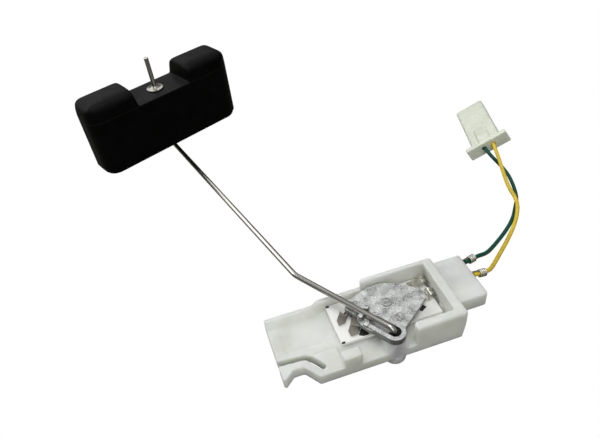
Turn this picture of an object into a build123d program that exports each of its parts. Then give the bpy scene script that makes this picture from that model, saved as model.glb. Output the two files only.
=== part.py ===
"""Fuel level sender: a float on a bent wire arm turns a sector over a resistor card in a plastic tray.

The row frame has its origin on the pivot axis, at the back face of the housing. X runs along the housing
towards the leads, Y from its front edge to its rear rail, and Z out of the open side of the tray.
The housing is drawn from its own corner: x from its left end, y from its front edge, z from its back face.
"""
from build123d import *
import os
from math import atan, cos, degrees, pi, radians, sin, sqrt, tan

# Housing, from its corner
LENGTH = 64.2
DEPTH = 27.6
PIVOT_FROM_END = 24.8
PIVOT_X = LENGTH - PIVOT_FROM_END
PIVOT_Y = 3.5
FLOOR = 4.15
RECESS = 0.2
RECESS_X = 3.4
RECESS_Y = 12.5
PAD_TOP = 4.8
PAD_DEPTH = 8.8
RAIL_TOP = 6.4
RAIL_WIDTH = 3.5
RAIL_FLAT = 1.1
LEDGE_X = PIVOT_X - 21.8
LEDGE_RUN = 4.6
LEDGE_STEPS = 6
LEDGE_TOP = 8.4
REAR_WALL = 1.8
WALL_TOP = 12.8
REAR_WALL_X = PIVOT_X - 3.1
FRONT_WALL_X = PIVOT_X + 6.4
FRONT_WALL = 3.0
RIGHT_WALL = 3.7
WALL_ROUND = 1.0
UNDERCUT_OUT = 1.3
UNDERCUT_UP = 8.5
RIB = (0.6, 2.5, 6.5)

# Snap arm at the front left corner, with the slot that frees it
ARM_TIP = ((0.0, 3.1), (0.9, 2.8))
ARM_HOOK = (4.3, 5.6)
ARM_BACK = (7.9, 5.3)
ARM_ROOT = (11.7, 0.0)
ARM_ROUND = 0.9
ARM_TIP_ROUND = 0.4
SLOT_WIDTH = 2.3
SLOT_ROUTE = ((-2.0, 9.95), (9.9, 9.0), (13.7, 3.5))
SLOT_ROUND = 3.4

# Stop block at the front edge
STOP_X = PIVOT_X - 19.0
STOP_LENGTH = 6.3
STOP_DEPTH = 3.7
STOP_TOP = 9.2

# Pivot: the holder's hollow hub turns in a boss that stands out of the back face
BOSS_RADIUS = 3.9
BOSS_DROP = 3.0
COLLAR_FOOT = 4.7
COLLAR_RADIUS = 3.35
BOSS_LEAD = 1.5
BOSS_CHAMFER = 0.4
HUB_RADIUS = 2.8
HUB_CLEARANCE = 0.06
HUB_TIP_GAP = 0.4
BEAD_RADIUS = 3.05
BEAD_HEIGHT = 0.7
BEAD_RELIEF = 0.12

# Connector block on the right wall
BLOCK_LENGTH = 12.1
BLOCK_WIDTH = 20.4
BLOCK_Y = DEPTH + 0.2 - BLOCK_WIDTH
BLOCK_BOTTOM = 2.9
BLOCK_TOP = 8.9
BLOCK_ROUND = 0.8

# Resistor card and its printed film
CARD_X = PIVOT_X - 17.0
CARD_END_PLAY = 0.8
CARD_LENGTH = LENGTH - RIGHT_WALL - CARD_END_PLAY - CARD_X
CARD_Y = 8.4
CARD_SIDE_PLAY = 0.2
CARD_DEPTH = DEPTH - REAR_WALL - CARD_SIDE_PLAY - CARD_Y
CARD_THICK = 1.2
CARD_SEAT = 4.45
SEAT_INSET = 0.8
FILM = 0.08
CARD_MARGIN = 0.5
CORNER_MARK = (1.4, 0.8)

# Terminals and their solder
STRAP_THICK = 0.45
STRAP_WIDTH = 2.2
STRAP_Z = 6.9
STRAP_PLAY = 0.15
TERMINAL_Y = {"signal": DEPTH - 3.3, "ground": DEPTH - 9.7}
SPOON_Y = {"signal": DEPTH - 5.0, "ground": DEPTH - 11.2}
SPOON_REACH = {"signal": 7.3, "ground": 5.4}
SPOON_WIDTH = 4.3
SPOON_LIP = 1.1
SPOON_RISE = 8.2
SPOON_HOLE = 0.45
INNER_STRAP = 3.1
STRAP_TAIL = 0.4
JOG_START = 0.9
JOG_END = 2.9
CRIMP_RADIUS = 1.45
CRIMP_LENGTH = 4.0
CRIMP_STUB = 1.3
CRIMP_SHEET = 0.35
LEAD_START = 0.35
CRIMP_GAP = 0.4
CRIMP_YAW = {"signal": 16.0, "ground": 3.0}
CRIMP_DROP = {"signal": 5.6, "ground": 9.3}
SOLDER_RADIUS = 1.3
SOLDER_HEIGHT = 0.5

# Arm holder, drawn with the wire along +X from the pivot
ARM_ANGLE = 123.2
HOLDER_TOP = 10.0
HOLDER_THICK = 1.5
EYE_TOP = 10.5
EYE_BOTTOM = 7.9
EYE_RADIUS = 3.6
EYE_WALL = 1.5
EYE_REACH = 7.8
EYE_FLOOR = 0.6
EYE_WELL = 3.5
SECTOR_PLAY = 0.55
SECTOR_RADIUS = DEPTH - REAR_WALL - PIVOT_Y - SECTOR_PLAY
SECTOR_RIGHT = -86.0
SECTOR_RIGHT_OFFSET = 2.08
SECTOR_EDGE = ((-53.7, 0.25), (-42.0, 0.0), (-32.5, 0.35), (-24.2, 0.85), (-14.9, 1.25), (-4.4, 1.75), (4.7, 2.15))
SECTOR_LIP = ((-50.0, 0.1), (-38.0, -0.1), (-29.5, 0.0), (-26.0, 0.9))
LIP_DROP = 0.55
SECTOR_ROUND = 3.0
BRACKET = ((14.3, 1.6), (12.8, 2.9), (10.9, 4.0), (7.4, 4.2), (5.5, 3.5))
POST_RADIUS = 0.95
POST_TOP = 12.3
POST_FAR_X = 12.7
POST_NEAR_X = 12.2
BLOCK_STEP_X = 9.3
BLOCK_STEP_Y = 3.0
BLOCK_STEP_SIZE = 1.9
EJECTOR_MARKS = ((9.05, -9.0, 1.6, 0.15), (2.4, -17.7, 1.55, -0.25), (2.05, -6.4, 1.45, 0.05), (17.3, -2.0, 1.4, 0.05))
MARK_RIM = 0.4

# Contact plate under the holder
SPRING = 0.3
PLATE_AT = (SECTOR_RADIUS - 6.45, -5.6)
PLATE_SIZE = (12.5, 12.0)
PLATE_EDGE = 2.3
PLATE_ROUND = 1.5
EYE_SPACE = 0.2
FINGER_ANGLE = 110.0
FINGERS = ((SECTOR_RADIUS - 2.75, 4.4, 3.1), (SECTOR_RADIUS - 8.75, 5.5, 3.6))
FINGER_OUT = 1.5
FINGER_POINT = 1.9
FINGER_SLOPE = 3.0
FINGER_ROOT = 3.2
BUTTON_RADIUS = 0.65
BUTTON_GAP = 0.07
BUTTON_HEIGHT = 0.3

# Float arm wire
WIRE = 2.1
WIRE_Z = 11.4
WIRE_FIRST = 42.9
WIRE_SECOND = 121.4
WIRE_TURN = -17.9
WIRE_DROOP = 1.4
STUB = 45.4
HOOK_BEND = 2.5
KNEE_BEND = 9.0
STUB_BEND = 2.4
POST_PLAY = 0.05

# Float
FLOAT_ANGLE = 24.5
FLOAT_LENGTH = 77.0
FLOAT_THICK = 19.0
FLOAT_BOTTOM = 11.6
FLOAT_HEIGHT = 28.0
HUMP_HEIGHT = 8.4
NOTCH = 28.0
FLOAT_CORNER = 7.0
FLOAT_BEVEL = 1.2
HUMP_SIDE_ROUND = 5.5
HUMP_END_ROUND = 6.0
HUMP_INNER_ROUND = 2.0
FLOAT_PLAY = 0.08
FLOAT_SINK = 1.6

# Push nut on the upright end of the wire
NUT_RADIUS = 4.0
NUT_THICK = 0.4
NUT_RISE = 0.9
NUT_GAP = 0.2

# Leads and plug
LEAD = 1.63
SURFACE = -3.0
PLUG_AT = (66.2, 70.2)
PLUG_YAW = -17.6
PLUG_ROLL = 32.0
PLUG_WIDTH = 13.2
PLUG_LENGTH = 27.5
PLUG_THICK = 5.0
COLLAR_WIDTH = 18.8
COLLAR_THICK = 6.0
COLLAR_LENGTH = 2.0
PIN_PITCH = 4.4
PIN_BODY = 2.0
PIN_LENGTH = 10.0
PIN_DEPTH = 1.5
LEAD_HOLE_PLAY = 0.15
LEAD_STRAIGHT = 7.5
LEAD_OUT = 5.3

CARD_TOP = CARD_SEAT + CARD_THICK
HOLDER_BOTTOM = HOLDER_TOP - HOLDER_THICK
EYE_UNDERSIDE = EYE_BOTTOM - 2 * BUTTON_GAP

# The film's bands: inner and outer radius, and the angles from +X at which they begin and end
TRACKS = (
    (SECTOR_RADIUS - 6.15, SECTOR_RADIUS - 3.45, 28.5, 125.0),
    (SECTOR_RADIUS - 12.85, SECTOR_RADIUS - 9.65, 45.0, 149.0),
    (SECTOR_RADIUS - 3.15, SECTOR_RADIUS - 1.15, 50.0, 136.0),
    (SECTOR_RADIUS - 8.75, SECTOR_RADIUS - 6.55, 42.0, 146.0),
)
TO_PIVOT = Pos(-PIVOT_X, -PIVOT_Y, 0)
TO_ARM = Rot(0, 0, ARM_ANGLE)

# The leads, from the housing's rear right corner, between the straight stretches at the crimp and behind the plug
GREEN_ROUTE = (
    (24.7, 0.5, 4.0), (31.0, 5.1, 1.0), (40.9, 12.0, -1.2), (49.5, 18.8, -2.15), (55.0, 25.3, -2.15),
    (58.9, 29.9, -2.15), (62.9, 39.0, -2.15), (65.0, 47.9, -1.9), (63.2, 56.2, 0.7),
)
YELLOW_ROUTE = (
    (24.0, -5.2, 2.4), (32.5, 2.2, -0.4), (41.1, 9.3, -2.15), (49.1, 16.3, -0.9), (52.7, 21.1, 2.2),
    (55.1, 27.2, 2.2), (57.4, 34.0, 0.4), (60.5, 41.9, -0.3), (62.5, 52.0, 3.5),
)


def corner_box(x, y, z, size_x, size_y, size_z):
    """Returns a block from its low corner and its size."""
    return Pos(x, y, z) * Box(size_x, size_y, size_z, align=(Align.MIN, Align.MIN, Align.MIN))


def near(shape, x, y):
    """Returns the shape's upright edge nearest to a point of the plan."""
    upright = shape.edges().filter_by(Axis.Z)
    return upright.sort_by(lambda e: (e.center().X - x) ** 2 + (e.center().Y - y) ** 2)[0]


def base_outline():
    """Returns the plan of the base, with the snap arm at its front left corner."""
    points = (ARM_ROOT, (LENGTH, 0), (LENGTH, DEPTH), (0, DEPTH), *ARM_TIP, ARM_HOOK, ARM_BACK)
    return make_face(Polyline(*points, close=True))


def make_base():
    """Returns the floor with the raised pad and arm, the recess in it and the slot behind the arm."""
    outline = base_outline()
    base = extrude(outline, FLOOR)
    pad = extrude(outline & Pos(STOP_X / 2, PAD_DEPTH / 2) * Rectangle(STOP_X, PAD_DEPTH), PAD_TOP)
    base += pad
    recess_length = CARD_X - RECESS_X
    recess_depth = DEPTH - RAIL_WIDTH - RECESS_Y
    base -= corner_box(RECESS_X, RECESS_Y, FLOOR - RECESS, recess_length, recess_depth, RECESS + 1)
    base = fillet([near(base, *ARM_HOOK), near(base, *ARM_BACK)], ARM_ROUND)
    base = fillet([near(base, *ARM_TIP[1]), near(base, *ARM_ROOT)], ARM_TIP_ROUND)
    route = FilletPolyline(*SLOT_ROUTE, radius=SLOT_ROUND)
    slot = trace(route, SLOT_WIDTH) + Pos(*SLOT_ROUTE[-1]) * Circle(SLOT_WIDTH / 2)
    return base - extrude(slot, PAD_TOP + 1)


def rail_section(x, share):
    """Returns the rail's section at x, a share of the way from the low rail to the thin wall that follows it."""
    rise = min(1.0, 1.8 * share)
    top = RAIL_TOP + (LEDGE_TOP - RAIL_TOP) * rise ** 2 * (3 - 2 * rise)
    back = DEPTH - RAIL_WIDTH + (RAIL_WIDTH - REAR_WALL) * share
    flat = DEPTH - RAIL_FLAT + (RAIL_FLAT - REAR_WALL) * share
    points = ((x, back, 0), (x, DEPTH, 0), (x, DEPTH, top), (x, flat, top), (x, back, FLOOR))
    return make_face(Polyline(*points, close=True))


def make_rail():
    """Returns the sloped rear rail, which climbs in a smooth rise into a thin wall."""
    rail = loft([rail_section(0, 0), rail_section(LEDGE_X, 0)], ruled=True)
    for i in range(LEDGE_STEPS):
        ends = (i / LEDGE_STEPS, (i + 1) / LEDGE_STEPS)
        rail += loft([rail_section(LEDGE_X + LEDGE_RUN * share, share) for share in ends], ruled=True)
    foot = LEDGE_X + LEDGE_RUN
    return rail + corner_box(foot, DEPTH - REAR_WALL, 0, REAR_WALL_X - foot + 1, REAR_WALL, LEDGE_TOP)


def make_walls():
    """Returns the three tall walls round the tray, rounded on their outer top edges."""
    plan = Pos(LENGTH / 2, DEPTH / 2) * Rectangle(LENGTH, DEPTH)
    inner_x = LENGTH - RIGHT_WALL
    inner_depth = DEPTH - REAR_WALL - FRONT_WALL
    plan -= Pos(inner_x / 2, FRONT_WALL + inner_depth / 2) * Rectangle(inner_x, inner_depth)
    plan -= Pos(FRONT_WALL_X / 2, FRONT_WALL / 2) * Rectangle(FRONT_WALL_X, FRONT_WALL)
    plan -= Pos(REAR_WALL_X / 2, DEPTH - REAR_WALL / 2) * Rectangle(REAR_WALL_X, REAR_WALL)
    walls = extrude(plan, WALL_TOP)
    walls = fillet([near(walls, LENGTH, 0), near(walls, LENGTH, DEPTH)], WALL_ROUND)
    walls = fillet(near(walls, FRONT_WALL_X, FRONT_WALL), WALL_ROUND)
    top = walls.faces().sort_by(Axis.Z)[-1]
    rim = top.edges().filter_by(lambda e: is_outer_edge(e.center()))
    walls = fillet(rim, WALL_ROUND * 0.9)
    left_top = walls.edges().filter_by(Axis.Y).filter_by_position(Axis.X, REAR_WALL_X - 1, REAR_WALL_X + 1)
    return fillet(left_top.sort_by(Axis.Z)[-1], WALL_ROUND)


def is_outer_edge(point):
    """Tells whether a point of the wall tops lies on the outer side of the tray."""
    close = WALL_ROUND
    return point.Y < close or point.Y > DEPTH - close / 2 or point.X > LENGTH - close


def make_block():
    """Returns the connector block on the right wall."""
    block = corner_box(LENGTH - 1, BLOCK_Y, BLOCK_BOTTOM, BLOCK_LENGTH + 1, BLOCK_WIDTH, BLOCK_TOP - BLOCK_BOTTOM)
    end = block.faces().sort_by(Axis.X)[-1]
    long_edges = block.edges().filter_by(Axis.X).group_by(Axis.Z)[-1]
    return fillet(end.edges().filter_by(Axis.Z) + long_edges, BLOCK_ROUND)


def make_housing():
    """Returns the moulded housing with its pivot bore and the passages for the terminals."""
    body = make_base() + make_rail() + make_walls() + make_block()
    body += corner_box(CARD_X + SEAT_INSET, CARD_Y + SEAT_INSET, FLOOR - 1, CARD_LENGTH - 2 * SEAT_INSET,
                       CARD_DEPTH - 2 * SEAT_INSET, CARD_SEAT - FLOOR + 1)
    stop = corner_box(STOP_X, 0, 1, STOP_LENGTH, STOP_DEPTH, STOP_TOP - 1)
    body += fillet(stop.edges().filter_by(Axis.Z) + stop.faces().sort_by(Axis.Z)[-1].edges(), 0.4)
    body += corner_box(LENGTH - RIGHT_WALL - RIB[0], CARD_Y + 1, FLOOR - 1, RIB[0] + 1, RIB[1], RIB[2] - FLOOR + 1)
    at_pivot = Pos(PIVOT_X, PIVOT_Y)
    upward = (Align.CENTER, Align.CENTER, Align.MIN)
    collar = Pos(0, 0, FLOOR) * Cone(COLLAR_FOOT, COLLAR_RADIUS, EYE_UNDERSIDE - FLOOR, align=upward)
    body += at_pivot * collar & corner_box(0, 0, 0, LENGTH, DEPTH, WALL_TOP)
    boss = Pos(0, 0, -BOSS_DROP) * Cylinder(BOSS_RADIUS, BOSS_DROP, align=upward)
    boss = chamfer(boss.edges().sort_by(Axis.Z)[0], BOSS_CHAMFER)
    body += at_pivot * (boss + Cone(BOSS_RADIUS, PIVOT_Y - BOSS_CHAMFER, BOSS_LEAD, align=upward))
    bore = Pos(0, 0, -2 * BOSS_DROP) * Cylinder(HUB_RADIUS + HUB_CLEARANCE, 2 * (BOSS_DROP + HOLDER_TOP), align=upward)
    relief_height = BOSS_DROP + HUB_TIP_GAP + BEAD_HEIGHT + BEAD_RELIEF
    relief = Pos(0, 0, -2 * BOSS_DROP) * Cylinder(BEAD_RADIUS + BEAD_RELIEF, relief_height, align=upward)
    body -= at_pivot * (bore + relief)
    undercut = Polyline((LENGTH + 0.01, UNDERCUT_UP), (LENGTH + 0.01, -0.01), (LENGTH - UNDERCUT_OUT, -0.01),
                        close=True)
    cut = extrude(Plane.XZ * make_face(undercut), -BLOCK_Y)
    body -= cut
    for name in TERMINAL_Y:
        passage = extrude(offset(strap_plan(name), STRAP_PLAY, kind=Kind.INTERSECTION), STRAP_THICK + 2 * STRAP_PLAY)
        body -= Pos(LENGTH - RIGHT_WALL, SPOON_Y[name], STRAP_Z - STRAP_THICK / 2 - STRAP_PLAY) * passage
    return body


def make_card():
    """Returns the ceramic card."""
    return corner_box(CARD_X, CARD_Y, CARD_SEAT, CARD_LENGTH, CARD_DEPTH, CARD_THICK)


def make_track():
    """Returns the printed film: four arcs round the pivot and a mark at each left corner of the card."""
    film = Part()
    card_plan = Pos(CARD_X - PIVOT_X + CARD_LENGTH / 2, CARD_Y - PIVOT_Y + CARD_DEPTH / 2) * Rectangle(
        CARD_LENGTH - 2 * CARD_MARGIN, CARD_DEPTH - 2 * CARD_MARGIN)
    for inner, outer, begin, end in TRACKS:
        low = CenterArc((0, 0), inner, begin, end - begin)
        high = CenterArc((0, 0), outer, begin, end - begin)
        band = make_face([low, high, Line(low @ 0, high @ 0), Line(low @ 1, high @ 1)])
        film += Pos(PIVOT_X, PIVOT_Y, CARD_TOP) * extrude(band & card_plan, FILM)
    length, width = CORNER_MARK
    for y in (CARD_Y + width / 2, CARD_Y + CARD_DEPTH - width / 2):
        film += Pos(CARD_X + length / 2, y, CARD_TOP) * extrude(SlotOverall(length, width), FILM)
    return film


def strap_plan(name):
    """Returns the plan of a terminal's strap, from the card through its jog in the wall to its crimp."""
    wide = INNER_STRAP / 2
    narrow = STRAP_WIDTH / 2
    aside = TERMINAL_Y[name] - SPOON_Y[name]
    end = RIGHT_WALL + BLOCK_LENGTH + CRIMP_GAP + LEAD_START / 2
    low = ((-STRAP_TAIL / 2, -wide), (JOG_START, -wide), (JOG_END, aside - narrow), (end, aside - narrow))
    high = ((end, aside + narrow), (JOG_END, aside + narrow), (JOG_START, wide), (-STRAP_TAIL / 2, wide))
    return make_face(Polyline(*low, *high, close=True))


def spoon_plan(reach):
    """Returns the plan of a terminal's spoon: a boat shape on the card that narrows to the strap."""
    half = SPOON_WIDTH / 2
    neck = INNER_STRAP / 2
    side = ((-reach, half * 0.5), (-reach * 0.72, half), (-reach * 0.5, half), (-reach * 0.3, neck), (JOG_START, neck))
    other = tuple((x, -y) for x, y in reversed(side))
    plan = make_face(Polyline(*side, *other, close=True))
    return fillet(plan.vertices().filter_by_position(Axis.X, -reach * 0.8, -reach * 0.4), half * 0.5)


def make_spoon(name):
    """Returns the spoon: its bowl rests on the card, then it climbs and drops again into the wall."""
    reach = SPOON_REACH[name]
    touch = CARD_TOP + FILM + STRAP_THICK / 2
    climb = -reach * 0.55
    bends = ((-reach, touch + SPOON_LIP), (-reach * 0.78, touch), (climb, touch), (-2.3 * JOG_START, SPOON_RISE),
             (-1.3 * JOG_START, SPOON_RISE), (-STRAP_TAIL, STRAP_Z), (JOG_START, STRAP_Z))
    profile = FilletPolyline(*bends, radius=STRAP_THICK)
    sheet = extrude(Plane.XZ * trace(profile, STRAP_THICK), SPOON_WIDTH, both=True)
    spoon = sheet & extrude(spoon_plan(reach), 2 * HOLDER_TOP)
    spoon -= Pos(-1.8 * JOG_START, 0, 0) * Cylinder(SPOON_HOLE, 4 * HOLDER_TOP)
    if name == "ground":
        spoon -= Pos(climb - SPOON_HOLE, SPOON_HOLE, 0) * Cylinder(SPOON_HOLE * 1.4, 4 * HOLDER_TOP)
    return spoon


def make_crimp():
    """Returns a crimp along +X: an open neck over the end of the insulation and three ridges round it."""
    upward = (Align.CENTER, Align.CENTER, Align.MIN)
    along = Rot(0, 90, 0)
    neck = along * Cylinder(LEAD / 2 + CRIMP_SHEET, CRIMP_STUB + CRIMP_SHEET, align=upward)
    neck &= corner_box(0, -CRIMP_RADIUS, 0, 2 * CRIMP_STUB, 2 * CRIMP_RADIUS, CRIMP_RADIUS)
    step = (CRIMP_LENGTH - CRIMP_STUB) / 3
    crimp = neck + Pos(CRIMP_STUB, 0, 0) * along * Cylinder(CRIMP_RADIUS * 0.86, 3 * step, align=upward)
    for i in range(3):
        ring = Cylinder(CRIMP_RADIUS, step, align=upward)
        ring = chamfer(ring.edges().filter_by(GeomType.CIRCLE), step * 0.25)
        crimp += Pos(CRIMP_STUB + i * step, 0, 0) * along * ring
    return crimp - along * Cylinder(LEAD / 2, 4 * CRIMP_LENGTH)


def make_terminal(name):
    """Returns a formed strip: a spoon on the card, a strap through the wall and a ridged crimp outside."""
    strap = Pos(0, 0, STRAP_Z - STRAP_THICK / 2) * extrude(strap_plan(name), STRAP_THICK)
    inside = Pos(LENGTH - RIGHT_WALL, SPOON_Y[name], 0) * (make_spoon(name) + strap)
    return inside + crimp_place(name) * make_crimp()


def crimp_place(name):
    """Returns the place of a terminal's crimp, which is bent aside and down with its lead."""
    root = Pos(LENGTH + BLOCK_LENGTH + CRIMP_GAP, TERMINAL_Y[name], STRAP_Z)
    return root * Rot(0, 0, CRIMP_YAW[name]) * Rot(0, CRIMP_DROP[name], 0)


def make_solder(name, terminal):
    """Returns the solder between a terminal's spoon and its pad on the card."""
    place = Pos(LENGTH - RIGHT_WALL - 0.66 * SPOON_REACH[name], SPOON_Y[name], CARD_TOP)
    dome = Cone(SOLDER_RADIUS, SOLDER_RADIUS * 0.6, SOLDER_HEIGHT, align=(Align.CENTER, Align.CENTER, Align.MIN))
    return keep_largest(place * dome - terminal)


def keep_largest(shape):
    """Returns the largest solid of a shape."""
    return shape.solids().sort_by(SortBy.VOLUME)[-1]


def sector_corner(angle, offset, radius):
    """Returns where a line at an angle, at an offset to the right of the pivot, meets a circle round it."""
    along = sqrt(radius ** 2 - offset ** 2)
    turn = radians(angle)
    return (along * cos(turn) + offset * sin(turn), along * sin(turn) - offset * cos(turn))


def on_circle(radius, angle):
    """Returns the point of a circle round the pivot at an angle in degrees."""
    return (radius * cos(radians(angle)), radius * sin(radians(angle)))


def arc_points(pairs):
    """Returns points of the sector's rim from pairs of an angle and an inset from the full radius."""
    return [on_circle(SECTOR_RADIUS - inset, angle) for angle, inset in pairs]


def make_sector():
    """Returns the flat sector with the lower lip beyond the rear left part of its rim."""
    right = sector_corner(SECTOR_RIGHT, SECTOR_RIGHT_OFFSET, SECTOR_RADIUS - SECTOR_PLAY)
    start = (SECTOR_RIGHT_OFFSET * sin(radians(SECTOR_RIGHT)), -SECTOR_RIGHT_OFFSET * cos(radians(SECTOR_RIGHT)))
    rim = arc_points(SECTOR_EDGE)
    left = rim[-1]
    edges = [Line(start, right), Spline(right, *rim), Polyline(left, *BRACKET, (0, EYE_RADIUS * 0.97), start)]
    sector = extrude(Pos(0, 0, HOLDER_BOTTOM) * make_face(edges), HOLDER_THICK)
    sector = fillet(near(sector, *right), SECTOR_ROUND)
    sector = fillet([near(sector, *left), near(sector, *BRACKET[0])], 0.6)
    lip = arc_points(SECTOR_LIP)
    lip_plan = make_face([ThreePointArc(*lip[:3]), Polyline(lip[2], lip[3], BRACKET[0], lip[0])])
    return sector + Pos(0, 0, HOLDER_BOTTOM) * extrude(lip_plan, HOLDER_THICK - LIP_DROP)


def make_holder():
    """Returns the die-cast holder: sector, eye with its trough, posts, bracket and hub."""
    sector = make_sector()
    eye = Pos(0, 0, EYE_BOTTOM) * extrude(eye_plan(EYE_RADIUS, EYE_REACH), EYE_TOP - EYE_BOTTOM)
    holder = sector + eye
    holder += post(POST_FAR_X, -1, HOLDER_BOTTOM) + post(POST_NEAR_X, 1, HOLDER_BOTTOM)
    step_block = Pos(BLOCK_STEP_X, BLOCK_STEP_Y, HOLDER_BOTTOM) * Box(
        BLOCK_STEP_SIZE, BLOCK_STEP_SIZE, EYE_TOP + 0.5 - HOLDER_BOTTOM, align=(Align.CENTER, Align.CENTER, Align.MIN))
    holder += fillet(step_block.edges().filter_by(Axis.Z) + step_block.faces().sort_by(Axis.Z)[-1].edges(), 0.35)
    hub_tip = -BOSS_DROP + HUB_TIP_GAP
    hub = Pos(0, 0, hub_tip) * Cylinder(HUB_RADIUS, HOLDER_BOTTOM - hub_tip, align=(Align.CENTER, Align.CENTER,
                                                                                     Align.MIN))
    bead = Pos(0, 0, hub_tip) * Cylinder(BEAD_RADIUS, BEAD_HEIGHT, align=(Align.CENTER, Align.CENTER, Align.MIN))
    holder += hub + bead
    trough_floor = EYE_BOTTOM + EYE_FLOOR
    trough = Pos(0, 0, trough_floor) * extrude(eye_plan(EYE_RADIUS - EYE_WALL, EYE_REACH), 5)
    well = Pos(0, 0, trough_floor - EYE_WELL) * Cylinder(EYE_RADIUS - EYE_WALL, EYE_WELL + 1, align=(
        Align.CENTER, Align.CENTER, Align.MIN))
    wire_hole = Cylinder(WIRE / 2, 4 * HOLDER_TOP)
    holder -= trough + well + wire_hole
    for x, y, radius, height in EJECTOR_MARKS:
        holder = ejector_mark(holder, x, y, radius, height)
    return keep_largest(holder)


def eye_plan(radius, reach):
    """Returns the long rounded plan of the eye or of its trough."""
    return Pos(reach / 2, 0) * SlotCenterToCenter(reach, 2 * radius)


def post(x, side, bottom):
    """Returns one of the two round-headed posts that grip the wire."""
    y = side * (WIRE / 2 + POST_PLAY + POST_RADIUS)
    body = Pos(x, y, bottom) * Cylinder(POST_RADIUS, POST_TOP - bottom, align=(Align.CENTER, Align.CENTER, Align.MIN))
    return fillet(body.edges().sort_by(Axis.Z)[-1], POST_RADIUS * 0.5)


def ejector_mark(holder, x, y, radius, height):
    """Returns the holder with one round ejector mark, ringed by a fine groove and raised or sunk."""
    top = Pos(x, y, HOLDER_TOP)
    groove = Cylinder(radius + MARK_RIM * 0.75, MARK_RIM) - Cylinder(radius, 2 * MARK_RIM)
    holder -= top * groove
    if height > 0:
        return holder + top * Cylinder(radius, 2 * height)
    return holder - top * Cylinder(radius, -2 * height)


def make_contact_plate():
    """Returns the spring sheet under the holder, with two bent fingers that end in points."""
    top = HOLDER_BOTTOM
    tip_z = CARD_TOP + FILM + BUTTON_GAP + BUTTON_HEIGHT
    reach = Circle(SECTOR_RADIUS - PLATE_EDGE)
    plan = Pos(*PLATE_AT) * RectangleRounded(*PLATE_SIZE, PLATE_ROUND) & reach
    plate = Pos(0, 0, top - SPRING) * extrude(plan, SPRING)
    room = extrude(reach, top) + corner_box(0, FINGER_OUT, 0, 2 * SECTOR_RADIUS, SECTOR_RADIUS, top)
    for x, y, width in FINGERS:
        run = y / sin(radians(FINGER_ANGLE))
        flat = FINGER_POINT + 0.8
        slope_end = -flat
        slope_start = slope_end - FINGER_SLOPE
        root = slope_start - FINGER_ROOT
        line = Polyline((root, top - SPRING / 2), (slope_start, top - SPRING / 2), (slope_end, tip_z + SPRING / 2),
                        (FINGER_POINT, tip_z + SPRING / 2))
        sheet = extrude(Plane.XZ * trace(line, SPRING), width / 2, both=True)
        outline = Polyline((root, -width / 2), (0, -width / 2), (FINGER_POINT, -width * 0.08), (0, width / 2),
                           (root, width / 2), close=True)
        finger = sheet & extrude(make_face(outline), 4 * top)
        plate += Pos(x, y, 0) * Rot(0, 0, FINGER_ANGLE) * finger & room
    eye_space = Pos(0, 0, EYE_BOTTOM) * extrude(eye_plan(EYE_RADIUS + EYE_SPACE, EYE_REACH), EYE_TOP - EYE_BOTTOM)
    return keep_largest(plate - eye_space)


def make_button(index):
    """Returns the small contact under a finger."""
    x, y, width = FINGERS[index]
    bottom = CARD_TOP + FILM + BUTTON_GAP
    button = Cylinder(BUTTON_RADIUS, BUTTON_HEIGHT, align=(Align.CENTER, Align.CENTER, Align.MIN))
    button = chamfer(button.edges().sort_by(Axis.Z)[0], BUTTON_HEIGHT * 0.35)
    return Pos(x, y, bottom) * Rot(0, 0, FINGER_ANGLE) * Pos(-1.0, 0, 0) * button


def wire_points():
    """Returns the corners of the wire, with its first run along +X."""
    turn = radians(WIRE_TURN)
    flat = sqrt(WIRE_SECOND ** 2 - WIRE_DROOP ** 2)
    corner = (WIRE_FIRST + flat * cos(turn), flat * sin(turn), WIRE_Z - WIRE_DROOP)
    foot = (0, 0, -BOSS_DROP + 2 * HUB_TIP_GAP)
    return [foot, (0, 0, WIRE_Z), (WIRE_FIRST, 0, WIRE_Z), corner, (corner[0], corner[1], corner[2] + STUB)]


def make_wire():
    """Returns the bent float arm, with rounded ends."""
    points = wire_points()
    path = FilletPolyline(*points, radius=[HOOK_BEND, KNEE_BEND, STUB_BEND])
    section = Plane(origin=path @ 0, z_dir=path % 0) * Circle(WIRE / 2)
    wire = sweep(section, path=path)
    return chamfer([wire.edges().sort_by(Axis.Z)[0], wire.edges().sort_by(Axis.Z)[-1]], 0.3)


def stub_place():
    """Returns the place of the wire's upright end in the row frame, turned with the float."""
    corner = wire_points()[3]
    turn = radians(WIRE_TURN + ARM_ANGLE)
    x = WIRE_FIRST * cos(radians(ARM_ANGLE)) + (corner[0] - WIRE_FIRST) / cos(radians(WIRE_TURN)) * cos(turn)
    y = WIRE_FIRST * sin(radians(ARM_ANGLE)) + (corner[0] - WIRE_FIRST) / cos(radians(WIRE_TURN)) * sin(turn)
    return Pos(x, y, 0) * Rot(0, 0, FLOAT_ANGLE)


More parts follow.
